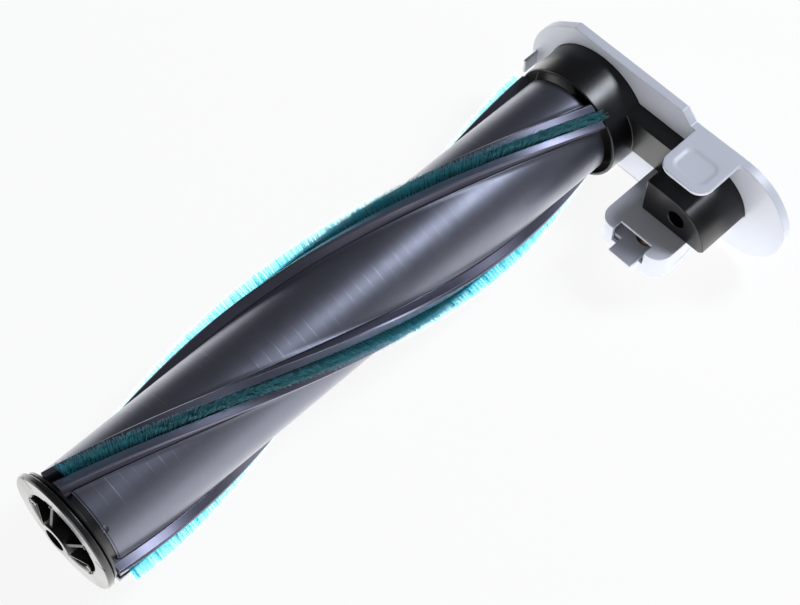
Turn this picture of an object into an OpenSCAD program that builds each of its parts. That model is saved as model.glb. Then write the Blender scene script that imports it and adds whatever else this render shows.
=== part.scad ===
// Turbo brush of a vacuum cleaner head: a twisted brush roller that spins on the
// side cover which carries it, with the cover's spring latch.
// Millimetres. The roller's axis runs along +X and +Z is up. The origin lies on that
// axis, in the front face of the drive ring.

/* [Roller tube] */
// Distance from the drive ring's face to the tube
tube_x = 6.3; // [6:0.1:8]
// Length of the tube
tube_len = 202.1; // [150:0.1:260]
// Radius of the smooth lobes
tube_r = 17.35; // [17:0.05:17.9]
// Width of the lowered rim at the drive end
rim_w = 0.7; // [0.5:0.1:1.5]
// Depth of that rim below the lobes
rim_step = 0.25; // [0.1:0.05:0.5]
// Radius of the round snap dimples at the drive end
dimple_r = 1.1; // [0.6:0.1:1.5]
// Depth of the snap dimples
dimple_depth = 0.5; // [0.2:0.1:0.8]
// Turn of a dimple past the middle of its lobe
dimple_turn = 3.5; // [-10:0.5:10]

/* [Strips] */
// Angle of the first strip at the ring's face, from +Y towards +Z
strip_angle = 67.1; // [0:0.1:119]
// Twist of the strips from one end of the tube to the other
strip_twist = 174.2; // [120:0.1:240]
// How far a carrier reaches past the tube at the drive end
carrier_lead = 2.3; // [1:0.1:2.4]
// How far a carrier reaches past the tube at the cover end
carrier_tail = 0.6; // [0.2:0.1:0.6]
// Depth of the channels below the lobes
channel_depth = 1.85; // [1.6:0.05:2.1]
// Height of the carriers' lips above the lobes
carrier_rise = 3.15; // [2.6:0.05:4]
// Half the width of a carrier across its lips
carrier_half_w = 4.6; // [4.3:0.1:5]
// Half the width of a carrier where it leaves the channel
carrier_neck_half_w = 4.1; // [3.8:0.1:4.2]
// Depth of the carrier's neck below the lobes
neck_depth = 0.3; // [0.2:0.1:0.5]
// Height above the lobes at which a carrier widens
shelf_h = 0.5; // [0.3:0.1:0.8]
// Height over which it widens
shelf_slope = 0.4; // [0.2:0.1:0.6]
// Half the width of the carrier's dovetail foot
carrier_foot_half_w = 4.7; // [4.4:0.1:5]
// Width of a carrier's lip
lip_w = 0.9; // [0.5:0.1:1.2]
// Bevel on the outside of a lip
lip_bevel = 0.3; // [0.1:0.1:0.5]
// Depth of the carrier's face below its lips
lip_h = 0.6; // [0.3:0.1:0.9]
// Tube wall left under a channel
channel_wall = 1.7; // [1.4:0.1:1.9]
// Gap between a carrier and its channel
carrier_gap = 0.1; // [0.05:0.05:0.15]
// Half the thickness of the bristle pile at its root
pile_half_w = 1.6; // [1.2:0.1:1.9]
// Extra half thickness of the pile at its tips
pile_flare = 0.3; // [0.1:0.1:0.6]
// Distance from the tube's drive end to the first bristles
pile_start = 1.5; // [0.5:0.1:3]
// Height of the bristle tips above the lips
pile_h = 3.5; // [2:0.1:5]
// Half the width of the strip's backing
backing_half_w = 2.4; // [2.2:0.1:2.7]
// Depth of the backing's slot below the lobes
slot_sink = 0.15; // [0.05:0.05:0.3]
// Thickness of the strip's backing
backing_t = 1.2; // [0.8:0.1:1.4]
// Gap between the backing and its slot
backing_gap = 0.1; // [0.05:0.05:0.15]

/* [Drive end cap] */
// How far the front flange stands outside the carriers' lips
flange_over = 0; // [-0.4:0.1:0.5]
// Thickness of the front flange
flange_t = 2.2; // [1.6:0.1:2.4]
// Depth of the groove behind the flange
groove_depth = 3.1; // [2.5:0.1:3.7]
// Width of that groove
groove_w = 0.8; // [0.5:0.1:0.9]
// Drop of the second flange below the front one
flange2_drop = 1.1; // [0.9:0.1:2.3]
// Drop of the neck below the tube's rim
neck_drop = 0.2; // [0.1:0.1:0.6]
// Drop of the ring's opening below the plug's outside
ring_inset = 0.2; // [0.1:0.1:0.6]
// Depth of that opening before the socket narrows
ring_open_t = 2.4; // [1.6:0.1:3]
// Chamfer of the ring's opening
ring_bevel = 0.7; // [0.3:0.1:1]
// Wall of the plug that enters the tube
plug_wall = 1.8; // [1.4:0.1:2.2]
// Gap between the carriers and the caps
cap_gap = 0.1; // [0.05:0.05:0.2]
// Length of the plug inside the tube
plug_len = 12; // [8:0.5:20]
// Thickness of the plug's floor
plug_floor = 2; // [1.5:0.1:3]
// Outer radius of the drive hub
hub_r = 5.9; // [5.4:0.1:6.4]
// Radius of the hub's bore
hub_bore_r = 3.8; // [3:0.1:4.2]
// How far the hub stands proud of the ring
hub_proud = 2.8; // [1.5:0.1:4]
// Number of webs between hub and ring
web_count = 5; // [3:1:6]
// Angle of the first web
web_angle = 3; // [0:1:71]
// Thickness of a web
web_t = 1.2; // [0.8:0.1:1.6]
// Recess of a web behind the ring's face, at the ring
web_recess = 0.7; // [0.5:0.1:2.2]
// How far a web's front edge stands out of the ring's face at the hub
web_lead = 2.2; // [1:0.1:2.4]
// Width of the drive tabs inside the ring
tab_w = 2.4; // [1.6:0.1:3.2]
// Height of the drive tabs
tab_h = 1.6; // [1:0.1:1.8]
// Recess of the drive tabs behind the ring's face
tab_inset = 0.2; // [0.1:0.1:0.6]
// Bevel around the flange's face
flange_bevel = 0.5; // [0.2:0.1:0.8]
// Angle of the first fine slit in the ring's face
slit_1_angle = 47.5; // [40:0.5:55]
// Angle of the second fine slit
slit_2_angle = 158; // [150:0.5:165]
// Length of a slit across the ring's face
slit_len = 3.5; // [2:0.1:4]
// Turn of a slit between its inner and its outer end
slit_turn = 5; // [0:0.5:8]
// Distance of a slit from the flange's edge
slit_edge = 0.2; // [0.1:0.1:0.6]
// Width of the slits
slit_w = 0.3; // [0.2:0.05:0.5]
// Depth of those slits
slit_depth = 0.6; // [0.3:0.1:1]

/* [Idler end] */
// Length of the idler cap inside the tube
idler_len = 11.4; // [10.5:0.1:15]
// Thickness of the idler cap's flange
idler_flange_t = 0.8; // [0.7:0.1:0.9]
// Thickness of the idler cap's closed end
idler_floor = 2; // [1.5:0.1:2.4]
// Radius of the space around the end of the axle
idler_hole_r = 6.2; // [5.8:0.1:6.8]

/* [Bearing] */
// Outer radius of the ball bearing
bearing_r = 9.5; // [9.3:0.1:10]
// Radius of the axle and of the bearing's bore
axle_r = 3; // [2.6:0.1:3.2]
// Width of the bearing
bearing_w = 6; // [5.6:0.1:6.2]
// Radius of a ball
ball_r = 1.75; // [1.6:0.05:1.8]
// Number of balls
ball_count = 7; // [6:1:8]
// Running gap between a ball and its races
race_gap = 0.08; // [0.06:0.01:0.1]
// Depth of a race below its shoulder
race_depth = 0.5; // [0.4:0.05:0.6]
// Thickness of a dust shield
shield_t = 0.35; // [0.25:0.05:0.4]
// Radial width of a shield's seat in the outer ring
shield_seat = 0.5; // [0.3:0.1:0.6]
// Distance of a shield from the bearing's side face
shield_inset = 0.2; // [0.1:0.05:0.3]
// Gap between a shield and the inner ring
shield_gap = 0.35; // [0.3:0.05:0.5]
// Radial thickness of the cage
cage_t = 1; // [0.8:0.1:1.1]
// Width of the cage along the axle
cage_w = 4.2; // [4:0.1:4.2]
// Gap between a ball and its cage pocket
pocket_gap = 0.1; // [0.05:0.05:0.15]

/* [Axle] */
// Thickness of the circlip
clip_t = 0.7; // [0.5:0.1:0.9]
// Radial depth of the circlip's groove
clip_depth = 0.45; // [0.3:0.05:0.6]
// Radial width of the circlip
clip_w = 2.1; // [1.6:0.1:2.2]
// Width of the circlip's open side
clip_mouth = 3.6; // [2.4:0.1:4.4]
// Play between the circlip and the bearing
clip_play = 0.1; // [0.05:0.05:0.2]
// Length of the axle past the circlip
axle_tip = 1; // [0.8:0.1:1.4]
// Chamfer on the axle's tip
axle_chamfer = 0.4; // [0.2:0.1:0.6]
// Radius of the axle's head
axle_head_r = 5; // [4.4:0.1:6]
// Thickness of the axle's head
axle_head_t = 1.5; // [1:0.1:2]

/* [End shroud] */
// Gap between the carriers' ends and the cup's rim
cup_gap = 0.5; // [0.4:0.1:1]
// Length of the cup from its rim to the cover's rim face
cup_len = 14.5; // [14:0.1:16]
// How far the cup's rim stands outside the carriers' lips
cup_over = 0.1; // [0:0.1:0.6]
// Growth of the cup's radius towards the cover
cup_draft = 0.2; // [0:0.1:0.5]
// Wall of the cup
cup_wall = 1.3; // [1:0.1:1.8]
// Distance from the cup's rim to its floor
cup_floor_depth = 6; // [5:0.1:7]
// Thickness of the cup's floor
cup_floor_t = 2; // [1.6:0.1:2.4]
// Radius of the axle boss at the bearing
boss_tip_r = 4.4; // [4:0.1:4.7]
// Radius of the axle boss at the cup's floor
boss_r = 7; // [6.6:0.1:7.4]
// Length of the boss behind the floor
boss_tail = 2.5; // [2:0.1:2.7]
// Wall of the arm and of the block
shroud_wall = 1.6; // [1.2:0.1:1.8]
// Depth of the arm in front of the cover's rim face
arm_depth = 6; // [5:0.1:6.4]
// Depth of the block in front of the cover's rim face
block_depth = 20; // [18:0.5:24]
// Height of the underside of arm and block
arm_z = -2.4; // [-3:0.1:-2]
// Height of the arm and of the block
arm_h = 15; // [14:0.1:16]
// Side of the block nearer the roller
block_y = -38; // [-40:0.5:-34]
// Where the block's round corner starts
block_arc_y = -48.2; // [-49.2:0.1:-47.4]
// Place of the screw well across the block
well_y = -51; // [-51.6:0.1:-50]
// Height of the screw well
well_z = 4.7; // [3.6:0.1:5]
// Bevel of the block's lower corner
block_corner = 1.5; // [0.8:0.1:2]
// Radius of the screw well
well_r = 3.1; // [2.9:0.1:3.2]
// Depth of the screw well
well_depth = 10; // [8:0.1:11]

/* [Side cover] */
// Thickness of the cover's rim
cover_t = 3.4; // [2.6:0.1:4]
// Width of the bevel around the outer face
cover_bevel = 0.5; // [0.3:0.1:1.2]
// How deep the shroud stands in its pocket in the cover
shroud_sink = 0.5; // [0.3:0.1:0.8]
// Play between the shroud and that pocket
sink_play = 0.1; // [0.05:0.05:0.2]
// Radius of the cover's end around the cup
cover_r = 24.5; // [24.3:0.1:26]
// Offset of that end's centre from the axle
cover_y = 4.5; // [3:0.1:6]
// Where the cover's straight top edge ends in a corner, past the axle
corner_y = 13; // [10:0.5:14]
// Where the cover's tall part ends
step_y = -32.6; // [-34:0.1:-30]
// Drop of the cover's edge at the step
step_h = 4; // [3:0.1:4.5]
// Centre of the cover's narrow end
cover_end_y = -58; // [-62:0.5:-56]
// Reach of the finger tab in front of the rim face
tab_len = 18; // [14:0.5:19]
// Centre of the finger tab
tab_y = -47.75; // [-49:0.25:-47.5]
// Width of the finger tab
tab_width = 18.5; // [16:0.5:20]
// Thickness of the finger tab
tab_t = 1.5; // [1.2:0.1:2]
// Corner radius of the finger tab
tab_corner = 5; // [3:0.5:6]
// Margin around the tab's finger dish
finger_margin = 2.3; // [1.8:0.1:3]
// Length of the finger dish along the tab
finger_len = 11.2; // [9:0.1:11.4]
// Depth of the finger dish
finger_depth = 0.45; // [0.2:0.05:0.6]
// Corner radius of the finger dish
finger_corner = 3.6; // [2:0.1:4]
// Reach of the locating tongues
tongue_len = 6; // [4:0.1:8]
// Distance of the tongues' outer faces from the cover's edge
tongue_in = 1.6; // [1.2:0.1:1.9]
// Thickness of the tongues
tongue_t = 1; // [0.8:0.1:1.6]
// Width of the tongues
tongue_w = 6.2; // [5:0.1:8]
// Side of the lower tongue nearer the latch tray
tongue_y = -12.8; // [-16:0.1:-10]

/* [Latch tray] */
// Reach of the tray in front of the rim face
tray_len = 32.3; // [31:0.1:36]
// Side of the tray nearer the roller
tray_y = -30.5; // [-32:0.1:-30]
// Width of the tray
tray_w = 26.1; // [25:0.1:27]
// Height of the tray
tray_h = 10.6; // [10.2:0.1:12]
// Side wall of the tray
tray_wall = 1.4; // [1:0.1:1.6]
// Top wall of the tray
tray_top_t = 1.2; // [1:0.1:1.4]
// Corner radius of the tray's front
tray_corner = 5.5; // [4:0.1:6]
// Centre of the tray's slot
slot_y = -43.5; // [-44:0.1:-43]
// Width of the slot
slot_w = 12.8; // [11.6:0.1:14]
// Depth of the slot from the tray's front
slot_depth = 3.9; // [3.4:0.1:4.6]
// Drop of the slot's sill below the tray's top
sill_drop = 6.2; // [6:0.1:6.8]

/* [Latch] */
// Drop of the latch plate's top below the tray's top
latch_drop = 4.4; // [4.2:0.1:4.6]
// Travel of the latch
latch_travel = 2.5; // [1.5:0.1:2.7]
// Thickness of the latch plate
latch_t = 2.6; // [2.3:0.1:2.8]
// Gap between the latch and the tray
latch_gap = 0.35; // [0.3:0.05:0.5]
// Length of the latch plate
latch_len = 16; // [15:0.5:18]
// Reach of the nose past the tray's front
nose_reach = 4.4; // [3:0.1:5]
// Centre of the nose
nose_y = -44.2; // [-44.6:0.1:-43.4]
// Width of the nose
nose_w = 9; // [8:0.1:9.6]
// Thickness of the nose
nose_t = 1.5; // [1.2:0.1:1.5]
// Height of the ramp under the nose's tip
nose_ramp = 0.8; // [0.4:0.1:1]
// Distance of the button from the tray's front
button_inset = 6.3; // [5.5:0.1:7]
// Length of the button along the tray
button_len = 12; // [10:0.5:12.5]
// Width of the button
button_w = 12; // [10:0.5:13]
// How far the button stands below the tray
button_proud = 0.4; // [0.2:0.1:1]
// Distance from the spring's axis to the tray's front
spring_x = 8.3; // [7.8:0.1:9]
// Place of the spring across the tray
spring_y = -45; // [-45.5:0.1:-43.5]
// Radius of the spring's pocket in the latch
pocket_r = 3.7; // [3.6:0.1:4]
// Depth of that pocket
pocket_depth = 2.1; // [1.6:0.1:2.1]
// Mean radius of the spring
spring_r = 2.9; // [2.6:0.1:3]
// Radius of the spring's wire
wire_r = 0.25; // [0.2:0.05:0.3]
// Turns of the spring
spring_turns = 4; // [3:0.5:5]
// Gap left at each end of the spring
spring_end_gap = 0.05; // [0.05:0.05:0.1]
// Radius of the spring's seat under the tray's top
seat_r = 2; // [1.6:0.1:2.1]
// Height of the spring's seat
seat_h = 1; // [0.6:0.1:1.2]
// Thickness of the retaining plate
retainer_t = 1.4; // [1.2:0.1:1.5]
// Length of the retaining plate
retainer_len = 22; // [21:0.5:26]
// Gap between the retaining plate and the tray
retainer_gap = 0.1; // [0.05:0.05:0.2]
// Gap between the button and its window
window_gap = 0.5; // [0.3:0.1:0.7]
// Width of the latch plate's side skirts
skirt_w = 1.2; // [0.8:0.1:1.6]

/* [Screws] */
// Distance of the cup's screws from the axle
screw_pitch_r = 12.6; // [12.2:0.1:13.4]
// Radius of a screw's head
screw_head_r = 2.7; // [2.4:0.1:2.8]
// Height of a screw's head
screw_head_h = 1.9; // [1.4:0.1:2.2]
// Radius of a screw's shank
screw_r = 1.45; // [1.2:0.05:1.5]
// Length of a screw under its head
screw_len = 8; // [6:0.1:8.5]
// Space left past the tip of a screw in its post
pilot_play = 0.5; // [0.3:0.1:0.8]
// Clearance around the shank in the shroud
screw_clear = 0.25; // [0.15:0.05:0.4]
// Radius of the screw posts on the cover
post_r = 3.3; // [3:0.1:3.5]
// Span of the driver's cross in a screw's head
cross_span = 3.2; // [2.6:0.1:3.6]
// Depth of that cross
cross_depth = 0.95; // [0.6:0.05:1.1]
// Width of that cross
cross_w = 0.7; // [0.5:0.1:0.9]

/* [Hidden] */

$fn = 96;
strip_count = 3;
strip_slices = 46;

// How far joined shapes run into each other, how far a cut runs past a face,
// and the smallest overlap
bite = 0.5;
past = 1;
eps = 0.01;

// Places along the roller's axis
tube_end = tube_x + tube_len;
carrier_x = tube_x - carrier_lead;
carrier_end = tube_end + carrier_tail;
carrier_len = carrier_end - carrier_x;
cup_x = carrier_end + cup_gap;
cover_x = cup_x + cup_len;
shroud_end = cover_x + shroud_sink;
idler_face = tube_end + idler_flange_t;
bearing_x = idler_face - bearing_w;
cup_floor_x = cup_x + cup_floor_depth;
cup_floor_back = cup_floor_x + cup_floor_t;
boss_back = cup_floor_back + boss_tail;
clip_x = bearing_x - clip_play - clip_t;
axle_x = clip_x - axle_tip;
plug_end = tube_x + plug_len;
arm_x = cover_x - arm_depth;
block_x = cover_x - block_depth;
tray_x = cover_x - tray_len;

// Radii of the roller's section
channel_r = tube_r - channel_depth;
tube_bore_r = channel_r - channel_wall;
twist_rate = strip_twist / tube_len;
carrier_foot_r = channel_r + carrier_gap;
lip_r = tube_r + carrier_rise;
face_r = lip_r - lip_h;
shelf_r = tube_r + shelf_h;
slot_floor_r = tube_r - slot_sink;
backing_r = slot_floor_r + backing_gap;
throat_r = backing_r + backing_t + backing_gap;
brush_r = lip_r + pile_h;

// Drive cap
flange_r = lip_r + flange_over;
groove_r = flange_r - groove_depth;
flange2_r = flange_r - flange2_drop;
neck_r = tube_r - rim_step - neck_drop;
ring_open_r = tube_bore_r - ring_inset;
socket_r = tube_bore_r - plug_wall;

// Bearing section
pitch_r = (bearing_r + axle_r) / 2;
inner_shoulder_r = pitch_r - ball_r + race_depth;
outer_shoulder_r = pitch_r + ball_r - race_depth;
shield_seat_r = outer_shoulder_r + shield_seat;
bearing_mid = bearing_x + bearing_w / 2;

// Cup and block
cup_r = lip_r + cup_over;
block_arc_r = arm_h;
arm_top = arm_z + arm_h;
low_h = cover_r - step_h;
tongue_r = cover_r - tongue_in;
corner_meet = 52;
step_end_y = step_y - step_h;

// Latch
tray_top = arm_z;
tray_bottom = tray_top - tray_h;
tray_far_y = tray_y - tray_w;
latch_top = tray_top - latch_drop;
latch_bottom = latch_top - latch_t;
latch_x = tray_x + tray_wall + latch_gap;
tray_ceiling = tray_top - tray_top_t;
retainer_top = tray_bottom + retainer_t;
pocket_floor = latch_top - pocket_depth;
spring_low = pocket_floor + spring_end_gap + wire_r;
spring_high = tray_ceiling - spring_end_gap - wire_r;
button_x = tray_x + button_inset;
nose_x = tray_x - nose_reach;

// Screws: across, up, and the face that the head sits on
well_floor_x = block_x + well_depth;
screw_places = [
    [0, screw_pitch_r, cup_floor_x],
    [0, -screw_pitch_r, cup_floor_x],
    [well_y, well_z, well_floor_x]
];

// Lays a shape drawn in the Y-Z plane along +X, starting at x
module axial(x = 0) {
    translate([x, 0, 0]) rotate([90, 0, 90]) children();
}

// Round bar along +X
module bar_x(x, len, r, y = 0, z = 0) {
    axial(x) translate([y, z, 0]) cylinder(r = r, h = len);
}

// Turned shape about the roller's axis, from points [radius, x]
module turned(points) {
    axial() rotate_extrude() polygon(points);
}

// Rectangle from one corner to the other
module area(x0, y0, x1, y1) {
    translate([x0, y0]) square([x1 - x0, y1 - y0]);
}

// Rectangle with both corners rounded on its low-x side
module round_front(x0, y0, x1, y1, r) {
    area(x0 + r, y0, x1, y1);
    area(x0, y0 + r, x0 + r + eps, y1 - r);
    for (y = [y0 + r, y1 - r]) translate([x0 + r, y]) circle(r);
}

// Rectangle with four rounded corners
module round_area(x0, y0, x1, y1, r) {
    area(x0 + r, y0, x1 - r, y1);
    area(x0, y0 + r, x1, y1 - r);
    for (x = [x0 + r, x1 - r], y = [y0 + r, y1 - r]) translate([x, y]) circle(r);
}

// Angle of a strip's centre line at x
function strip_at(index, x) = strip_angle + index * 360 / strip_count + twist_rate * x;

// Extrudes a section, drawn about +Y, along a strip's helix
module helical(index, x, len) {
    slices = ceil(strip_slices * len / carrier_len);
    axial(x) rotate([0, 0, strip_at(index, x)])
        linear_extrude(height = len, twist = -twist_rate * len, slices = slices, segments = 1)
            children();
}

// Section symmetric about +Y, from points [radius, half width] going outwards
module mirrored(points) {
    count = len(points);
    polygon(concat(points, [for (i = [count - 1:-1:0]) [points[i][0], -points[i][1]]]));
}

// Section of the dovetail channel in the tube
module channel_section() {
    mirrored([
        [channel_r, carrier_foot_half_w + carrier_gap],
        [tube_r - neck_depth, carrier_neck_half_w + carrier_gap],
        [tube_r + past, carrier_neck_half_w + carrier_gap]
    ]);
}

// Section of a carrier: dovetail foot, neck, lips and the slot for its bristles
module carrier_section() {
    difference() {
        mirrored([
            [carrier_foot_r, carrier_foot_half_w],
            [tube_r - neck_depth, carrier_neck_half_w],
            [shelf_r, carrier_neck_half_w],
            [shelf_r + shelf_slope, carrier_half_w],
            [lip_r - lip_bevel, carrier_half_w],
            [lip_r, carrier_half_w - lip_bevel],
            [lip_r, carrier_half_w - lip_w],
            [face_r, carrier_half_w - lip_w]
        ]);
        mirrored([
            [slot_floor_r, backing_half_w + backing_gap],
            [throat_r, backing_half_w + backing_gap],
            [throat_r + eps, pile_half_w + backing_gap],
            [face_r + past, pile_half_w + backing_gap]
        ]);
    }
}

module roller_tube() {
    color("#4a4a58") difference() {
        union() {
            bar_x(tube_x, rim_w + eps, tube_r - rim_step);
            bar_x(tube_x + rim_w, tube_len - rim_w, tube_r);
        }
        bar_x(tube_x - past, tube_len + 2 * past, tube_bore_r);
        for (i = [0:strip_count - 1]) helical(i, carrier_x, carrier_len) channel_section();
        for (i = [0:strip_count - 1])
            rotate([strip_at(i, tube_x) + 180 / strip_count + dimple_turn, 0, 0])
                translate([tube_x + rim_w, tube_r + past, 0]) rotate([90, 0, 0])
                    cylinder(r = dimple_r, h = past + dimple_depth);
    }
}

module strip_carrier(index) {
    color("#454552") helical(index, carrier_x, carrier_len) carrier_section();
}

module bristle_strip(index) {
    start = tube_x + pile_start;
    color("#1f8f96") helical(index, start, carrier_end - start) mirrored([
        [backing_r, backing_half_w],
        [backing_r + backing_t, backing_half_w],
        [backing_r + backing_t + eps, pile_half_w],
        [lip_r, pile_half_w],
        [brush_r, pile_half_w + pile_flare]
    ]);
}

// One web between the hub and the socket's wall
module drive_web(angle) {
    rotate([angle, 0, 0]) translate([0, 0, -web_t / 2]) linear_extrude(web_t)
        polygon([
            [-web_lead, hub_r - bite], [web_recess, socket_r],
            [ring_open_t + bite, socket_r + bite],
            [plug_end, socket_r + bite], [plug_end, hub_r - bite]
        ]);
}

// Drive tab inside the ring
module drive_tab(angle) {
    rotate([angle, 0, 0]) translate([tab_inset, ring_open_r - tab_h, -tab_w / 2])
        cube([ring_open_t, tab_h + bite, tab_w]);
}

// Fine slit in the ring's face, turning outwards from its inner end
module ring_slit(angle, turn) {
    to_r = flange_r - slit_edge;
    from_r = to_r - slit_len;
    a = from_r * [cos(angle), sin(angle)];
    b = to_r * [cos(angle + turn), sin(angle + turn)];
    axial(-past) linear_extrude(past + slit_depth) translate(a)
        rotate(atan2(b[1] - a[1], b[0] - a[0]))
            translate([0, -slit_w / 2]) square([norm(b - a), slit_w]);
}

module drive_end_cap() {
    groove_end = flange_t + groove_w;
    flange2_end = carrier_x - cap_gap;
    back_bevel = flange_bevel / 2;
    color("#17171a") difference() {
        union() {
            turned([
                [ring_open_r + ring_bevel, 0], [flange_r - flange_bevel, 0], [flange_r, flange_bevel],
                [flange_r, flange_t - back_bevel], [flange_r - back_bevel, flange_t],
                [groove_r, flange_t],
                [groove_r, groove_end], [flange2_r, groove_end], [flange2_r, flange2_end],
                [neck_r, flange2_end], [neck_r, tube_x], [tube_bore_r, tube_x],
                [tube_bore_r, plug_end], [0, plug_end], [0, plug_end - plug_floor],
                [socket_r, plug_end - plug_floor], [socket_r, ring_open_t],
                [ring_open_r, ring_open_t], [ring_open_r, ring_bevel]
            ]);
            bar_x(-hub_proud, hub_proud + plug_end - bite, hub_r);
            for (i = [0:web_count - 1]) {
                drive_web(web_angle + i * 360 / web_count);
                drive_tab(web_angle + i * 360 / web_count);
            }
        }
        bar_x(-hub_proud - past, hub_proud + past + plug_end - plug_floor, hub_bore_r);
        ring_slit(slit_1_angle, -slit_turn);
        ring_slit(slit_2_angle, slit_turn);
        for (i = [0:strip_count - 1])
            rotate([strip_at(i, (carrier_x + tube_x) / 2), 0, 0])
                translate([carrier_x - cap_gap / 2, channel_r - cap_gap, -carrier_half_w - past])
                    cube([carrier_lead + cap_gap, flange_r, 2 * (carrier_half_w + past)]);
    }
}

module idler_end_cap() {
    color("#17171a") turned([
        [0, tube_end - idler_len], [tube_bore_r, tube_end - idler_len],
        [tube_bore_r, tube_end], [channel_r - cap_gap, tube_end], [channel_r - cap_gap, idler_face],
        [bearing_r, idler_face], [bearing_r, bearing_x], [idler_hole_r, bearing_x],
        [idler_hole_r, tube_end - idler_len + idler_floor],
        [0, tube_end - idler_len + idler_floor]
    ]);
}

// Ring of the balls' races
module race() {
    axial(bearing_mid) rotate_extrude() translate([pitch_r, 0]) circle(ball_r + race_gap);
}

module bearing_outer_ring() {
    inset = shield_inset + shield_t;
    color("silver") difference() {
        turned([
            [bearing_r, bearing_x], [bearing_r, idler_face],
            [shield_seat_r, idler_face], [shield_seat_r, idler_face - inset],
            [outer_shoulder_r, idler_face - inset], [outer_shoulder_r, bearing_x + inset],
            [shield_seat_r, bearing_x + inset], [shield_seat_r, bearing_x]
        ]);
        race();
    }
}

module bearing_inner_ring() {
    color("silver") difference() {
        bar_x(bearing_x, bearing_w, inner_shoulder_r);
        bar_x(bearing_x - past, bearing_w + 2 * past, axle_r);
        race();
    }
}

// Places a child at each ball, with the child's Z pointing away from the axle
module at_balls() {
    for (i = [0:ball_count - 1])
        rotate([i * 360 / ball_count, 0, 0]) translate([bearing_mid, 0, pitch_r]) children();
}

module bearing_balls() {
    color("gainsboro") at_balls() sphere(ball_r);
}

module bearing_cage() {
    color("goldenrod") difference() {
        bar_x(bearing_mid - cage_w / 2, cage_w, pitch_r + cage_t / 2);
        bar_x(bearing_mid - cage_w, 2 * cage_w, pitch_r - cage_t / 2);
        at_balls() cylinder(r = ball_r + pocket_gap, h = 2 * cage_t, center = true);
    }
}

module bearing_shield(x) {
    color("lightslategray") difference() {
        bar_x(x, shield_t, shield_seat_r);
        bar_x(x - past, shield_t + 2 * past, inner_shoulder_r + shield_gap);
    }
}

module axle_pin() {
    groove_r = axle_r - clip_depth;
    color("lightgray") turned([
        [0, axle_x], [axle_r - axle_chamfer, axle_x], [axle_r, axle_x + axle_chamfer],
        [axle_r, clip_x], [groove_r, clip_x], [groove_r, clip_x + clip_t],
        [axle_r, clip_x + clip_t], [axle_r, boss_back], [axle_head_r, boss_back],
        [axle_head_r, boss_back + axle_head_t], [0, boss_back + axle_head_t]
    ]);
}

module circlip() {
    inner_r = axle_r - clip_depth;
    color("dimgray") difference() {
        bar_x(clip_x, clip_t, inner_r + clip_w);
        bar_x(clip_x - past, clip_t + 2 * past, inner_r);
        translate([clip_x - past, 0, -clip_mouth / 2])
            cube([clip_t + 2 * past, inner_r + clip_w + past, clip_mouth]);
    }
}

// Outline of the block in the Y-Z plane, drawn smaller by an inset
module block_outline(inset = 0) {
    low = arm_z + inset;
    side = block_arc_y - block_arc_r + inset;
    cut = block_corner - inset * (2 - sqrt(2));
    difference() {
        union() {
            intersection() {
                translate([block_arc_y, arm_z]) circle(block_arc_r - inset);
                area(side - past, low, block_arc_y, arm_top + past);
            }
            area(block_arc_y, low, block_y - inset, arm_top - inset);
        }
        polygon([
            [side - past, low - past], [side + cut + past, low - past],
            [side - past, low + cut + past]
        ]);
    }
}

// Outside of the cup, a cone that widens towards the cover
module cup_cone(x, end, wall) {
    span = cover_x - cup_x;
    r_x = cup_r + cup_draft * (x - cup_x) / span - wall;
    r_end = cup_r + cup_draft * (end - cup_x) / span - wall;
    axial(x) cylinder(r1 = r_x, r2 = r_end, h = end - x);
}

module end_shroud() {
    arm_start = cup_wall - sqrt(cup_r ^ 2 - arm_top ^ 2);
    color("#131315") difference() {
        union() {
            difference() {
                union() {
                    cup_cone(cup_x, shroud_end, 0);
                    axial(arm_x) linear_extrude(shroud_end - arm_x)
                        area(block_y - eps, arm_z, arm_start, arm_top);
                    axial(block_x) linear_extrude(shroud_end - block_x) block_outline();
                }
                cup_cone(cup_x - past, cup_floor_x, cup_wall);
                cup_cone(cup_floor_back, shroud_end + past, cup_wall);
                axial(arm_x + shroud_wall) linear_extrude(arm_depth + past)
                    area(block_y - 2 * shroud_wall, arm_z + shroud_wall,
                         -cup_r - shroud_wall, arm_top - shroud_wall);
                axial(block_x + shroud_wall) linear_extrude(block_depth + past)
                    block_outline(shroud_wall);
            }
            axial(idler_face) cylinder(r1 = boss_tip_r, r2 = boss_r, h = cup_floor_x - idler_face);
            bar_x(cup_floor_x, boss_back - cup_floor_x, boss_r);
            bar_x(block_x, well_depth + cup_floor_t, well_r + shroud_wall, well_y, well_z);
        }
        bar_x(idler_face - past, boss_back - idler_face + 2 * past, axle_r);
        bar_x(block_x - past, well_depth + past, well_r, well_y, well_z);
        for (place = screw_places)
            bar_x(place[2] - past, cup_floor_t + 2 * past, screw_r + screw_clear,
                  place[0], place[1]);
    }
}

// Outline of the cover in the Y-Z plane, drawn smaller by an inset:
// a tall part around the cup and a lower part around the block
module cover_outline(inset = 0) {
    tall = cover_r - inset;
    low = low_h - inset;
    lean = inset * tan(22.5);
    translate([cover_y, 0]) circle(tall);
    polygon([
        [cover_y, 0], [cover_y, tall], [corner_y - lean, tall],
        [cover_y + tall * cos(corner_meet), tall * sin(corner_meet)]
    ]);
    polygon([
        [cover_y, tall], [step_y - lean, tall], [step_end_y - lean, low],
        [step_end_y - lean, -low], [step_y - lean, -tall], [cover_y, -tall]
    ]);
    area(cover_end_y, -low, step_end_y, low);
    translate([cover_end_y, 0]) circle(low);
}

// Outside and hollow of the latch tray, seen from above
module tray_outline(inset, end) {
    round_front(tray_x + inset, tray_far_y + inset, end, tray_y - inset,
                tray_corner - inset);
}

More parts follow.
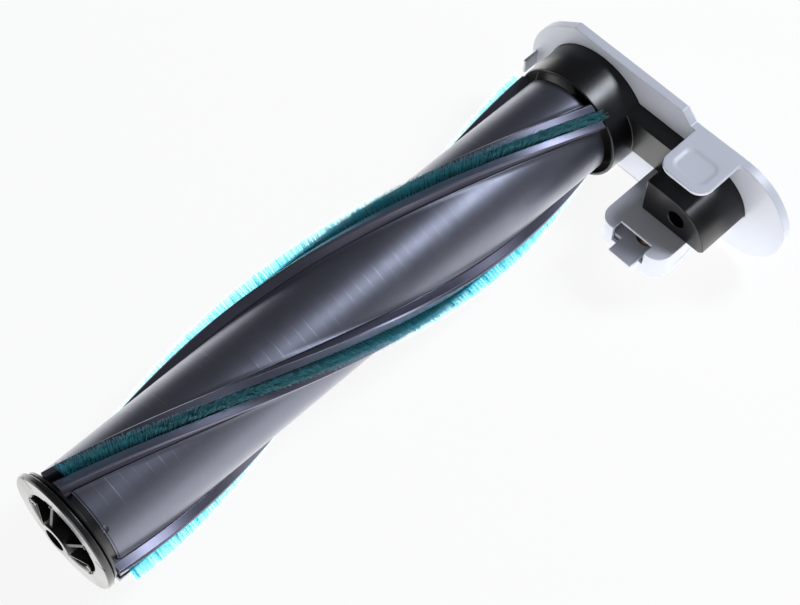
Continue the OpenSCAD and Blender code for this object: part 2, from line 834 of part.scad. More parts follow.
module finger_tab() {
    difference() {
        translate([0, 0, low_h - tab_t]) linear_extrude(tab_t)
            round_front(cover_x - tab_len, tab_y - tab_width / 2,
                        cover_x + bite, tab_y + tab_width / 2, tab_corner);
        translate([0, 0, low_h - finger_depth]) linear_extrude(past)
            round_area(cover_x - tab_len + finger_margin, tab_y - tab_width / 2 + finger_margin,
                       cover_x - tab_len + finger_margin + finger_len,
                       tab_y + tab_width / 2 - finger_margin, finger_corner);
    }
}

module latch_tray() {
    difference() {
        translate([0, 0, tray_bottom]) linear_extrude(tray_h)
            tray_outline(0, cover_x + 2 * bite);
        translate([0, 0, tray_bottom - past]) linear_extrude(tray_h + past - tray_top_t)
            tray_outline(tray_wall, cover_x - tray_wall);
        translate([tray_x - past, slot_y - slot_w / 2, tray_top - sill_drop])
            cube([slot_depth + past, slot_w, sill_drop + past]);
    }
    translate([tray_x + spring_x, spring_y, tray_ceiling - seat_h])
        cylinder(r = seat_r, h = seat_h + eps);
}

// Footprint of the shroud on the cover, drawn larger by a play
module shroud_print(play) {
    circle(cup_r + cup_draft + play);
    area(block_y - eps, arm_z - play, 0, arm_top + play);
    block_outline(-play);
}

module side_cover() {
    flat_t = cover_t - cover_bevel;
    color("#b9bccd") difference() {
        union() {
            difference() {
                union() {
                    axial(cover_x) linear_extrude(flat_t) cover_outline();
                    axial(cover_x + flat_t - eps) linear_extrude(cover_bevel / 2 + eps)
                        cover_outline(cover_bevel / 3);
                    axial(cover_x + flat_t + cover_bevel / 2 - eps)
                        linear_extrude(cover_bevel / 2 + eps) cover_outline(cover_bevel);
                }
                axial(cover_x - past) linear_extrude(past + shroud_sink) shroud_print(sink_play);
            }
            finger_tab();
            latch_tray();
            translate([cover_x - tongue_len, cover_y + tongue_r - tongue_t, -tongue_w])
                cube([tongue_len + bite, tongue_t, tongue_w]);
            translate([cover_x - tongue_len, tongue_y, -tongue_r - tongue_t / 2])
                cube([tongue_len + bite, tongue_w, tongue_t]);
            for (place = screw_places)
                bar_x(place[2] + cup_floor_t, shroud_end + eps - place[2] - cup_floor_t,
                      post_r, place[0], place[1]);
        }
        for (place = screw_places)
            bar_x(place[2] + cup_floor_t - past, screw_len - cup_floor_t + past + pilot_play,
                  screw_r, place[0], place[1]);
    }
}

module cover_screw() {
    difference() {
        union() {
            bar_x(-screw_head_h, screw_head_h, screw_head_r);
            bar_x(-eps, screw_len + eps, screw_r);
        }
        for (turn = [0, 90]) rotate([turn, 0, 0])
            translate([-screw_head_h - past, -cross_span / 2, -cross_w / 2])
                cube([past + cross_depth, cross_span, cross_w]);
    }
}

module cover_screws() {
    color("darkgray") for (place = screw_places)
        translate([place[2], place[0], place[1]]) cover_screw();
}

module latch_bolt() {
    side = tray_wall + latch_gap;
    y0 = tray_far_y + side;
    y1 = tray_y - side;
    skirt_h = latch_bottom - retainer_top - latch_gap;
    color("#b0b3c2") difference() {
        union() {
            translate([0, 0, latch_bottom]) linear_extrude(latch_t)
                round_front(latch_x, y0, latch_x + latch_len, y1, tray_corner - side);
            translate([0, nose_y + nose_w / 2, latch_top]) rotate([90, 0, 0])
                linear_extrude(nose_w) polygon([
                    [nose_x, 0], [latch_x + bite, 0], [latch_x + bite, -nose_t],
                    [nose_x + 2 * nose_ramp, -nose_t], [nose_x, -nose_t + nose_ramp]
                ]);
            translate([button_x, slot_y - button_w / 2, tray_bottom - button_proud])
                cube([button_len, button_w, latch_bottom - tray_bottom + button_proud + eps]);
            for (y = [y0, y1 - skirt_w])
                translate([latch_x + tray_corner, y, latch_bottom - skirt_h])
                    cube([latch_len - tray_corner, skirt_w, skirt_h + eps]);
        }
        translate([tray_x + spring_x, spring_y, pocket_floor])
            cylinder(r = pocket_r, h = pocket_depth + past);
    }
}

// Coil spring: a round wire swept up a helix
module latch_spring() {
    sides = 8;
    steps = 20;
    count = steps * spring_turns;
    rise = spring_high - spring_low;
    points = [
        for (i = [0:count], j = [0:sides - 1])
            let (turn = 360 * i / steps, around = 360 * j / sides,
                 r = spring_r + wire_r * cos(around))
            [r * cos(turn), r * sin(turn), rise * i / count + wire_r * sin(around)]
    ];
    walls = [
        for (i = [0:count - 1], j = [0:sides - 1])
            let (k = (j + 1) % sides, a = i * sides, b = a + sides)
            [a + j, b + j, b + k, a + k]
    ];
    ends = [
        [for (j = [0:sides - 1]) j],
        [for (j = [sides - 1:-1:0]) count * sides + j]
    ];
    color("#7a5c46") translate([tray_x + spring_x, spring_y, spring_low])
        polyhedron(points, concat(walls, ends), convexity = 8);
}

module latch_retainer() {
    side = tray_wall + retainer_gap;
    color("#a5a8b4") difference() {
        translate([0, 0, tray_bottom]) linear_extrude(retainer_t)
            round_front(tray_x + side, tray_far_y + side, tray_x + side + retainer_len,
                        tray_y - side, tray_corner - side);
        translate([button_x - window_gap, slot_y - button_w / 2 - window_gap, tray_bottom - past])
            cube([button_len + 2 * window_gap, button_w + 2 * window_gap, retainer_t + 2 * past]);
    }
}

roller_tube();
strip_carrier(0);  // strip_carrier_1
strip_carrier(1);  // strip_carrier_2
strip_carrier(2);  // strip_carrier_3
bristle_strip(0);  // bristle_strip_1
bristle_strip(1);  // bristle_strip_2
bristle_strip(2);  // bristle_strip_3
drive_end_cap();
idler_end_cap();
bearing_outer_ring();
bearing_inner_ring();
bearing_balls();
bearing_cage();
bearing_shield(bearing_x + shield_inset);  // bearing_shield_inner
bearing_shield(idler_face - shield_inset - shield_t);  // bearing_shield_outer
axle_pin();
circlip();
end_shroud();
side_cover();
cover_screws();
latch_bolt();
latch_spring();
latch_retainer();
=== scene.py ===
# %% [markdown]
# # A vacuum's turbo brush roller
#
# The part is a twisted brush roller that spins on the side cover of a vacuum head.
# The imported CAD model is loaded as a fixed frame: it says where every piece is and
# what moves. This notebook dresses it. Round and twisted pieces are modelled afresh
# from a few profile points, moulded pieces are copies of the frame's own solids with
# their edges rounded, and each finish is a small node material.

# %% Load the frame
import math
import random

import bmesh
import bpy
from mathutils import Matrix, Vector, noise


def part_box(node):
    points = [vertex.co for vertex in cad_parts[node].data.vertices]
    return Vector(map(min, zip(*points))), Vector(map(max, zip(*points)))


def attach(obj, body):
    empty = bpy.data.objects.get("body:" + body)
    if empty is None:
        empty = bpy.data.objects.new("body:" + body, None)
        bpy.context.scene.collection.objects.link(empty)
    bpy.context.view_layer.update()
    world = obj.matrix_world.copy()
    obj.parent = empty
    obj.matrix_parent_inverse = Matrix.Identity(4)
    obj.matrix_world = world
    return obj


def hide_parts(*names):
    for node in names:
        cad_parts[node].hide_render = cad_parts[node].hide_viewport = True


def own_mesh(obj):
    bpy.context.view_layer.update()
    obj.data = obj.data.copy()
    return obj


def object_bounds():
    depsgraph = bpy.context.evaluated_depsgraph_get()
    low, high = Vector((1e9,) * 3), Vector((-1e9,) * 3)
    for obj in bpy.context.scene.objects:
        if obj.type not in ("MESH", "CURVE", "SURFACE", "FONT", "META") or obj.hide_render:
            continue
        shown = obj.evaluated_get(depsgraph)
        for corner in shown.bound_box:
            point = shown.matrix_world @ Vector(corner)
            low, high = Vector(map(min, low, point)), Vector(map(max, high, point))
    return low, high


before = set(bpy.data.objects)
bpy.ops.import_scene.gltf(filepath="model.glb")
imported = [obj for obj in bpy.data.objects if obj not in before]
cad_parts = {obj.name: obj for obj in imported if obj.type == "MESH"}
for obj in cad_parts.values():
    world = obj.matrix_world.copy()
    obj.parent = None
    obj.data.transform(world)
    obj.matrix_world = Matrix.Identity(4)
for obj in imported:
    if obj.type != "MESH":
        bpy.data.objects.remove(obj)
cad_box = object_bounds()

print("box in mm:", [round(side * 1000, 1) for side in cad_box[1] - cad_box[0]])

# %% [markdown]
# ## Sizes
#
# Everything below is drawn in millimetres, because the part is small and the numbers
# stay easy to read. A piece is scaled to metres once, when it is finished. Places
# along the roller come from the frame's own boxes. The three strips run round the
# roller at one rate, so one function gives a strip's angle anywhere along it.

# %% Sizes shared by several pieces
MM = 0.001
AXIS = Vector((1, 0, 0))
CENTRE = Vector((0, 0, 0))


def box_mm(node):
    """Lowest and highest corner of a CAD node, in millimetres."""
    low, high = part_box(node)
    return low / MM, high / MM


tube_low, tube_high = box_mm("roller_tube")
carrier_low, carrier_high = box_mm("strip_carrier_1")
TUBE_START, TUBE_END = tube_low.x, tube_high.x
CARRIER_START, CARRIER_END = carrier_low.x, carrier_high.x

STRIPS = 3
FIRST_STRIP_ANGLE = math.radians(67.1)
TWIST = math.radians(174.2) / (TUBE_END - TUBE_START)
LOBE_R = 17.35
LIP_R = 20.5
BRUSH_R = 24.0


def strip_angle(index, x):
    """Angle of a strip's centre line at x, from +Y towards +Z."""
    return FIRST_STRIP_ANGLE + index * math.tau / STRIPS + TWIST * x


def on_strip(out, across, angle, x):
    """Point at a distance out from the axis and across a strip that lies at that angle."""
    y = out * math.cos(angle) - across * math.sin(angle)
    z = out * math.sin(angle) + across * math.cos(angle)
    return Vector((x, y, z))


print("tube from", round(TUBE_START, 2), "to", round(TUBE_END, 2), "mm")
print("twist in degrees per mm:", round(math.degrees(TWIST), 3))

# %% [markdown]
# ## Helpers for meshes
#
# A mesh could be typed in as vertices and faces, or grown from a few vertices with
# bmesh operators. Growing it keeps the script short: a profile is a handful of
# points, and spin turns it into a ring or, with a push along the axis, into a helix.


# %% Mesh helpers
def chain(bm, points, closed=True):
    """Joins points with edges and returns the vertices and edges."""
    verts = [bm.verts.new(point) for point in points]
    pairs = list(zip(verts, verts[1:]))
    if closed:
        pairs.append((verts[-1], verts[0]))
    edges = [bm.edges.new(pair) for pair in pairs]
    return verts + edges


def helix(bm, geometry, length, steps):
    """Sweeps edges along the roller as they turn with the strips, and returns the last ones."""
    made = bmesh.ops.spin(
        bm, geom=geometry, cent=CENTRE, axis=AXIS, dvec=AXIS * (length / steps),
        angle=TWIST * length, steps=steps,
    )
    return made["geom_last"]


def turn_round(bm, profile, steps=128):
    """Spins a closed profile of (radius, x) points about the roller's axis into a ring."""
    points = [Vector((x, radius, 0)) for radius, x in profile]
    geometry = chain(bm, points)
    bmesh.ops.spin(
        bm, geom=geometry, cent=CENTRE, axis=AXIS, angle=math.tau, steps=steps, use_merge=True,
    )


def only_edges(geometry):
    return [item for item in geometry if isinstance(item, bmesh.types.BMEdge)]


def only_verts(geometry):
    return [item for item in geometry if isinstance(item, bmesh.types.BMVert)]


def radius_of(vert):
    return math.hypot(vert.co.y, vert.co.z)


def finish_piece(bm, name, body, material, replaces=(), sharp=35):
    """Turns a bmesh in millimetres into a piece that rides on a body and stands for CAD nodes."""
    bmesh.ops.remove_doubles(bm, verts=bm.verts, dist=0.0005)
    bmesh.ops.recalc_face_normals(bm, faces=bm.faces)
    bmesh.ops.scale(bm, vec=(MM, MM, MM), verts=bm.verts)
    mesh = bpy.data.meshes.new(name)
    bm.to_mesh(mesh)
    bm.free()
    mesh.materials.append(material)
    mesh.shade_smooth()
    mesh.set_sharp_from_angle(angle=math.radians(sharp))
    piece = bpy.data.objects.new(name, mesh)
    bpy.context.scene.collection.objects.link(piece)
    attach(piece, body)
    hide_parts(*replaces)
    print(name, "has", len(mesh.polygons), "faces")
    return piece


def round_edges(piece, width, segments=3, angle=32):
    """Rounds the sharp edges of a piece by a width in millimetres."""
    bevel = piece.modifiers.new("rounded edges", "BEVEL")
    bevel.width = width * MM
    bevel.segments = segments
    bevel.limit_method = "ANGLE"
    bevel.angle_limit = math.radians(angle)
    bevel.use_clamp_overlap = False
    bevel.harden_normals = True
    return bevel


def weigh_edges(bm, width_at, widest, angle=32):
    """Gives each sharp edge a bevel weight, from the width in millimetres wanted at its middle."""
    weight = bm.edges.layers.float.new("bevel_weight_edge")
    for edge in bm.edges:
        if edge.calc_face_angle(0) > math.radians(angle):
            middle = (edge.verts[0].co + edge.verts[1].co) / 2
            edge[weight] = width_at(middle) / widest


def moulded_copy(node, name, body, material, width_at, widest, shape=None):
    """Copy of a CAD node with whole faces and rounded edges, after shape has worked on it."""
    bm = bmesh.new()
    bm.from_mesh(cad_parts[node].data)
    bmesh.ops.scale(bm, vec=(1 / MM, 1 / MM, 1 / MM), verts=bm.verts)
    bmesh.ops.remove_doubles(bm, verts=bm.verts, dist=0.001)
    bmesh.ops.dissolve_limit(bm, angle_limit=math.radians(0.4), verts=bm.verts, edges=bm.edges)
    if shape:
        shape(bm)
    weigh_edges(bm, width_at, widest)
    piece = finish_piece(bm, name, body, material, [node])
    if "custom_normal" in piece.data.attributes:
        piece.data.attributes.remove(piece.data.attributes["custom_normal"])
    bevel = round_edges(piece, widest)
    bevel.limit_method = "WEIGHT"
    return piece


print("mesh helpers ready")

# %% [markdown]
# ## Helpers for finishes
#
# Colours are written as the hex values that a colour picker shows, which are sRGB.
# Shaders work on linear light, so one function turns them over. Another adds a node
# with its settings and its links, which keeps each material down to a few lines.


# %% Material helpers
def linear(hex_colour):
    """Linear RGBA of an sRGB hex colour."""
    parts = [int(hex_colour[i:i + 2], 16) / 255 for i in (1, 3, 5)]
    return [c / 12.92 if c <= 0.04045 else ((c + 0.055) / 1.055) ** 2.4 for c in parts] + [1]


def new_material(name):
    """Empty node material, and its output node."""
    material = bpy.data.materials.new(name)
    material.use_nodes = True
    material.node_tree.nodes.clear()
    return material, add(material, "ShaderNodeOutputMaterial")


def add(material, kind, inputs=None, **settings):
    """Adds a node with its settings; an input is a value or another node's output."""
    tree = material.node_tree
    made = tree.nodes.new(kind)
    for key, value in settings.items():
        setattr(made, key, value)
    for key, value in (inputs or {}).items():
        if isinstance(value, bpy.types.NodeSocket):
            tree.links.new(value, made.inputs[key])
        else:
            made.inputs[key].default_value = value
    return made


print("linear value of a mid grey:", round(linear("#808080")[0], 3))

# %% [markdown]
# ## Moulded plastics
#
# The shroud, the caps, the tube and the cover are injection-moulded ABS. A polished
# mould gives the black shroud a wet gloss, and a finer-blasted one leaves the tube and
# the cover satin. Up close none is perfectly smooth: the surface has a faint orange
# peel and its gloss varies a little, which keeps highlights from looking drawn. Both
# come from noise on Object coordinates, at a real grain size in millimetres.


# %% Moulded ABS
def moulded_abs(name, colour, roughness, grain, peel, specular=0.5, coat=0.0):
    """ABS with an orange peel: grain is its size and peel its depth, both in millimetres."""
    material, output = new_material(name)
    place = add(material, "ShaderNodeTexCoord").outputs["Object"]
    fine = add(material, "ShaderNodeTexNoise",
               {"Vector": place, "Scale": 1 / (grain * MM), "Detail": 3.0})
    broad = add(material, "ShaderNodeTexNoise",
                {"Vector": place, "Scale": 1 / (14 * MM), "Detail": 2.0})
    gloss = add(material, "ShaderNodeMapRange",
                {"Value": broad.outputs["Fac"], "From Min": 0.3, "From Max": 0.7,
                 "To Min": roughness * 0.88, "To Max": roughness * 1.15})
    bump = add(material, "ShaderNodeBump",
               {"Height": fine.outputs["Fac"], "Distance": peel * MM, "Strength": 1.0})
    surface = add(material, "ShaderNodeBsdfPrincipled",
                  {"Base Color": linear(colour), "Roughness": gloss.outputs["Result"],
                   "IOR": 1.53, "Specular IOR Level": specular, "Coat Weight": coat,
                   "Coat Roughness": 0.05, "Normal": bump.outputs["Normal"]})
    add_link(material, surface.outputs["BSDF"], output)
    return material


def add_link(material, shader, output):
    """Joins a shader to the material's output."""
    material.node_tree.links.new(shader, output.inputs["Surface"])


polished_black_abs = moulded_abs("polished_black_abs", "#0b0b0e", 0.31, 1.2, 0.004, 0.37)
satin_black_abs = moulded_abs("satin_black_abs", "#101014", 0.3, 0.9, 0.004, 0.5)
lavender_abs = moulded_abs("lavender_abs", "#c4c7d2", 0.4, 0.7, 0.004)
latch_abs = moulded_abs("latch_abs", "#aeb1bd", 0.42, 0.6, 0.004)
print("moulded plastics ready")

# %% [markdown]
# ## The tube's finish
#
# The roller's tube and the strips' carriers are dark violet-grey ABS with a fine
# aluminium flake in it, as car trim has. The flake makes the plastic shine softly all
# over, like a dull metal, and tints its highlights. The tube came out of the mould
# with faint witness lines round it, about four millimetres apart. They are too fine
# for geometry, so a narrow ridge and a slight lean of each stretch are one bump. White
# noise gives each stretch its own lean, and a patchy noise lets the lines fade out.


# %% Flake-filled ABS
def flake_abs(name, colour, metallic, roughness, pitch, step):
    """Flake-filled ABS with faint steps round the roller: pitch and step in millimetres."""
    material, output = new_material(name)
    place = add(material, "ShaderNodeTexCoord").outputs["Object"]
    along = add(material, "ShaderNodeSeparateXYZ", {"Vector": place}).outputs["X"]
    turn = add(material, "ShaderNodeMath", {0: along, 1: 1 / (pitch * MM)}, operation="MULTIPLY")
    within = add(material, "ShaderNodeMath", {0: turn.outputs[0]}, operation="FRACT")
    segment = add(material, "ShaderNodeMath", {0: turn.outputs[0]}, operation="FLOOR")
    tilt = add(material, "ShaderNodeTexWhiteNoise", {"W": segment.outputs[0]},
               noise_dimensions="1D")
    ramp = add(material, "ShaderNodeMath",
               {0: within.outputs[0], 1: tilt.outputs["Value"]}, operation="MULTIPLY")
    ridge = add(material, "ShaderNodeMapRange",
                {"Value": within.outputs[0], "From Max": 0.22 / pitch, "To Min": 1.0,
                 "To Max": 0.0}, interpolation_type="SMOOTHSTEP")
    profile = add(material, "ShaderNodeMath",
                  {0: ridge.outputs["Result"], 1: 0.4, 2: ramp.outputs[0]},
                  operation="MULTIPLY_ADD")
    patchy = add(material, "ShaderNodeTexNoise",
                 {"Vector": place, "Scale": 1 / (9 * MM), "Detail": 2.0})
    share = add(material, "ShaderNodeMapRange",
                {"Value": patchy.outputs["Fac"], "From Min": 0.35, "From Max": 0.6})
    rise = add(material, "ShaderNodeMath", {0: profile.outputs[0], 1: share.outputs["Result"]},
               operation="MULTIPLY")
    steps = add(material, "ShaderNodeBump", {"Height": rise.outputs[0], "Distance": step * MM})
    flake = add(material, "ShaderNodeTexNoise",
                {"Vector": place, "Scale": 1 / (0.35 * MM), "Detail": 3.0})
    bump = add(material, "ShaderNodeBump",
               {"Height": flake.outputs["Fac"], "Distance": 0.006 * MM,
                "Normal": steps.outputs["Normal"]})
    gloss = add(material, "ShaderNodeMapRange",
                {"Value": patchy.outputs["Fac"], "From Min": 0.3, "From Max": 0.7,
                 "To Min": roughness * 0.93, "To Max": roughness * 1.07})
    surface = add(material, "ShaderNodeBsdfPrincipled",
                  {"Base Color": linear(colour), "Roughness": gloss.outputs["Result"],
                   "Metallic": metallic, "Normal": bump.outputs["Normal"]})
    add_link(material, surface.outputs["BSDF"], output)
    return material


tube_abs = flake_abs("flake_abs_tube", "#626470", 0.8, 0.41, 3.95, 0.05)
carrier_abs = flake_abs("flake_abs_carrier", "#565665", 0.75, 0.36, 17.0, 0.01)
print("tube and carrier finishes ready")

# %% [markdown]
# ## Nylon pile
#
# The bristles are crimped nylon filament, dyed teal. Nylon lets light through, so the
# strip is deep teal over the dark roller and glows cyan where a white table is behind
# it. One Principled shader gives the filaments their teal colour and shine. A second
# one lets light pass, with an index near 1, because a pile this dense sends light on
# with little bend. Both colours run from dark at the root to light at the tip with the
# distance from the roller's axis. The dark roots are painted shade and the light tips are
# painted glints. Both also vary with noise on a cylinder, which leaves streaks along the hairs.


# %% Teal nylon
def teal_nylon():
    material, output = new_material("teal_nylon")
    place = add(material, "ShaderNodeTexCoord").outputs["Object"]
    flat = add(material, "ShaderNodeVectorMath", {0: place, 1: (0, 1, 1)}, operation="MULTIPLY")
    reach = add(material, "ShaderNodeVectorMath", {0: flat.outputs[0]}, operation="LENGTH")
    height = add(material, "ShaderNodeMapRange",
                 {"Value": reach.outputs["Value"], "From Min": 19.4 * MM, "From Max": BRUSH_R * MM})
    around = add(material, "ShaderNodeVectorMath", {0: flat.outputs[0]}, operation="NORMALIZE")
    along = add(material, "ShaderNodeVectorMath", {0: place, 1: (1, 0, 0)}, operation="MULTIPLY")
    streak = add(material, "ShaderNodeVectorMath",
                 {0: around.outputs[0], 1: [BRUSH_R * MM] * 3, 2: along.outputs[0]},
                 operation="MULTIPLY_ADD")
    tone = add(material, "ShaderNodeTexNoise",
               {"Vector": streak.outputs[0], "Scale": 1 / (0.5 * MM), "Detail": 2.0,
                "Roughness": 0.7})
    shift = add(material, "ShaderNodeMapRange",
                {"Value": tone.outputs["Fac"], "From Min": 0.3, "From Max": 0.7,
                 "To Min": -0.22, "To Max": 0.22})
    level = add(material, "ShaderNodeMath",
                {0: height.outputs["Result"], 1: shift.outputs["Result"]}, operation="ADD",
                use_clamp=True)
    # Each ramp darkens towards the root as painted shade and lightens towards the tip as painted
    # glints.
    root_shade_tip_glint_ramps = []
    for low, middle, high in (("#04626f", "#12aec8", "#90f4ff"), ("#98e4ee", "#b6eef5", "#cdf4fa")):
        ramp = add(material, "ShaderNodeValToRGB", {"Fac": level.outputs[0]})
        stops = ramp.color_ramp.elements
        stops[0].position = 0.2
        stops[0].color = linear(low)
        stops[1].color = linear(high)
        stops.new(0.6).color = linear(middle)
        root_shade_tip_glint_ramps.append(ramp.outputs["Color"])
    shine = add(material, "ShaderNodeBsdfPrincipled",
                {"Base Color": root_shade_tip_glint_ramps[0], "Roughness": 0.3, "IOR": 1.53})
    glow = add(material, "ShaderNodeBsdfPrincipled",
               {"Base Color": root_shade_tip_glint_ramps[1], "Roughness": 0.4, "IOR": 1.05,
                "Transmission Weight": 1.0})
    both = add(material, "ShaderNodeMixShader",
               {"Fac": 0.91, 1: shine.outputs["BSDF"], 2: glow.outputs["BSDF"]})
    add_link(material, both.outputs[0], output)
    return material


nylon = teal_nylon()
# The core's near-black teal is painted shade: the shade deep inside a dense pile.
pile_core_painted_shade = moulded_abs("nylon_core_painted_shade", "#062a30", 0.8, 0.3, 0.03)
print("nylon ready")

# %% [markdown]
# ## Metals
#
# The bearing's rings and balls are ground steel, its cage is stamped brass, the axle
# is turned steel and the latch's spring is bronze wire. Turning and grinding leave
# fine marks round the axis, drawn as noise that is squeezed along X.


# %% Ground and turned metals
def turned_metal(name, colour, roughness, mark):
    """Metal with fine turning marks round X, at a spacing in millimetres."""
    material, output = new_material(name)
    place = add(material, "ShaderNodeTexCoord").outputs["Object"]
    squeeze = add(material, "ShaderNodeMapping", {"Vector": place, "Scale": (1 / mark, 0.05, 0.05)})
    grain = add(material, "ShaderNodeTexNoise",
                {"Vector": squeeze.outputs["Vector"], "Scale": 1 / MM, "Detail": 2.0})
    gloss = add(material, "ShaderNodeMapRange",
                {"Value": grain.outputs["Fac"], "To Min": roughness * 0.8,
                 "To Max": roughness * 1.3})
    bump = add(material, "ShaderNodeBump",
               {"Height": grain.outputs["Fac"], "Distance": 0.004 * MM})
    surface = add(material, "ShaderNodeBsdfPrincipled",
                  {"Base Color": linear(colour), "Metallic": 1.0,
                   "Roughness": gloss.outputs["Result"], "Normal": bump.outputs["Normal"]})
    add_link(material, surface.outputs["BSDF"], output)
    return material


metals = {
    "bearing_outer_ring": turned_metal("ground_bearing_steel", "#c4c4c8", 0.18, 0.2),
    "bearing_shield_inner": turned_metal("pressed_shield_steel", "#a4a6ac", 0.3, 0.4),
    "bearing_balls": turned_metal("polished_ball_steel", "#d2d2d6", 0.06, 2.0),
    "bearing_cage": turned_metal("stamped_brass", "#c9a24f", 0.3, 0.5),
    "axle_pin": turned_metal("turned_axle_steel", "#b8b8bc", 0.25, 0.25),
    "circlip": turned_metal("tempered_spring_steel", "#5c5c64", 0.35, 0.4),
    "cover_screws": turned_metal("zinc_plated_steel", "#8d8f96", 0.3, 0.3),
}
metals["bearing_inner_ring"] = metals["bearing_outer_ring"]
metals["bearing_shield_outer"] = metals["bearing_shield_inner"]
bronze_wire = turned_metal("bronze_wire", "#8a6a52", 0.3, 0.3)
for node, metal in metals.items():
    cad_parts[node].material_slots[0].material = metal
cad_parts["idler_end_cap"].material_slots[0].material = satin_black_abs
print("metal on", len(metals), "nodes")

# %% [markdown]
# ## Roller tube
#
# The tube has three smooth lobes with a dovetail channel between each two. Cutting the
# channels out of a cylinder would leave messy faces, so the tube is grown from its
# section instead: one lobe is an arc, spun from a single vertex, and its channel is
# four more points. Three copies make the section, and a helix sweep makes the tube.
# At the drive end the first stretch is a little lower, which leaves the thin rim line.

# %% Section and sweep of the tube
RIM_W = 0.7
RIM_R = 17.1
CHANNEL_R = 15.5
BORE_R = 13.85
MOUTH_HALF_W = 4.4
MOUTH_BEAD = [
    (0.0, 0.82), (0.25, 0.52), (0.31, 0.43), (0.34, 0.35), (0.35, 0.25), (0.33, 0.15),
    (0.27, 0.06), (0.18, 0.015), (0.08, 0.0),
]
FLOOR_HALF_W = 4.8
LOBE_STEPS = 26
SWEEP_STEP = 1.0


def tube_section(bm, radius, x):
    """Closed section of the tube at x, with its lobes at a radius."""
    angle = strip_angle(0, x)
    edge = MOUTH_HALF_W + MOUTH_BEAD[0][1]
    half = math.asin(edge / radius)
    first = bm.verts.new(on_strip(radius * math.cos(half), edge, angle, x))
    bmesh.ops.spin(
        bm, geom=[first], cent=CENTRE, axis=AXIS, angle=math.tau / STRIPS - 2 * half,
        steps=LOBE_STEPS,
    )
    edge_r = radius * math.cos(half)
    lip = [(edge_r + rise, MOUTH_HALF_W + past) for rise, past in MOUTH_BEAD]
    lip.append((CHANNEL_R, FLOOR_HALF_W))
    channel = [on_strip(out, -across, angle, x) for out, across in lip]
    channel += [on_strip(out, across, angle, x) for out, across in reversed(lip)]
    chain(bm, channel, closed=False)
    bmesh.ops.spin(
        bm, geom=bm.verts[:] + bm.edges[:], cent=CENTRE, axis=AXIS, angle=math.tau,
        steps=STRIPS, use_duplicate=True,
    )
    bmesh.ops.remove_doubles(bm, verts=bm.verts, dist=0.001)
    return bm.verts[:] + bm.edges[:]


def close_end(bm, edges, radius):
    """Adds the flat end of the tube, from its section in to its bore."""
    made = bmesh.ops.extrude_edge_only(bm, edges=edges)
    for vert in only_verts(made["geom"]):
        scale = radius / radius_of(vert)
        vert.co.y *= scale
        vert.co.z *= scale


bm = bmesh.new()
start = tube_section(bm, RIM_R, TUBE_START)
start_edges = only_edges(start)
rim_end = helix(bm, start, RIM_W, 1)
step = bmesh.ops.extrude_edge_only(bm, edges=only_edges(rim_end))
for vert in only_verts(step["geom"]):
    if radius_of(vert) > RIM_R - 0.05:
        scale = LOBE_R / RIM_R
        vert.co.y *= scale
        vert.co.z *= scale
body_len = TUBE_END - TUBE_START - RIM_W
far_end = helix(bm, step["geom"], body_len, round(body_len / SWEEP_STEP))
close_end(bm, start_edges, BORE_R)
close_end(bm, only_edges(far_end), BORE_R)
print("tube section has", len(start_edges), "edges")

# %% [markdown]
# ## Snap dimples
#
# Each lobe has a small round dimple on the rim line, where the cap's snap is staked
# through. The faces around it are too coarse to hold a hollow of two millimetres, so
# they are subdivided first and the new vertices are pushed in.

# %% Dimples in the lobes
DIMPLE_R = 1.15
DIMPLE_DEPTH = 0.5
DIMPLE_TURN = math.radians(3.5)
DIMPLE_CUTS = 7

for index in range(STRIPS):
    middle = strip_angle(index, TUBE_START) + math.pi / STRIPS + DIMPLE_TURN
    centre = on_strip(LOBE_R, 0, middle, TUBE_START + RIM_W)
    near = [
        edge for edge in bm.edges
        if all((vert.co - centre).length < 2.6 * DIMPLE_R for vert in edge.verts)
    ]
    bmesh.ops.subdivide_edges(bm, edges=near, cuts=DIMPLE_CUTS, use_grid_fill=True)
    for vert in bm.verts:
        away = (vert.co - centre).length / DIMPLE_R
        if away < 1 and radius_of(vert) > RIM_R - 0.6:
            sink = 1 - DIMPLE_DEPTH * (1 - away ** 4) / LOBE_R
            vert.co.y *= sink
            vert.co.z *= sink
tube = finish_piece(bm, "tube_shell", "roller", tube_abs, ["roller_tube"])
round_edges(tube, 0.08, segments=2)

# %% [markdown]
# ## Strip carriers
#
# A carrier is an extrusion that is bent into the helix as it is pushed into its
# channel: a dovetail foot, a neck, a wider head with a lip along each side, and a slot
# that holds the bristle strip. Its section is a closed loop of points on both sides of
# the strip's centre line, swept along the same helix as the tube.

# %% Sweep the carriers
HALF_SECTION = [
    (15.6, 4.7), (16.95, 4.1), (17.1, 4.55), (19.85, 4.6), (LIP_R, 4.15), (LIP_R, 1.75),
    (18.61, 1.75), (18.6, 2.5), (17.2, 2.5),
]


def carrier_section(bm, index, x):
    """Closed section of a carrier, mirrored about its strip's centre line."""
    angle = strip_angle(index, x)
    one_side = [on_strip(out, across, angle, x) for out, across in HALF_SECTION]
    other_side = [on_strip(out, -across, angle, x) for out, across in reversed(HALF_SECTION)]
    return chain(bm, one_side + other_side)


for index in range(STRIPS):
    bm = bmesh.new()
    start = carrier_section(bm, index, CARRIER_START)
    length = CARRIER_END - CARRIER_START
    end = helix(bm, start, length, round(length / SWEEP_STEP))
    bmesh.ops.contextual_create(bm, geom=only_edges(start))
    bmesh.ops.contextual_create(bm, geom=only_edges(end))
    carrier = finish_piece(
        bm, f"carrier_{index + 1}", "roller", carrier_abs,
        [f"strip_carrier_{index + 1}"],
    )
    round_edges(carrier, 0.14, segments=3)
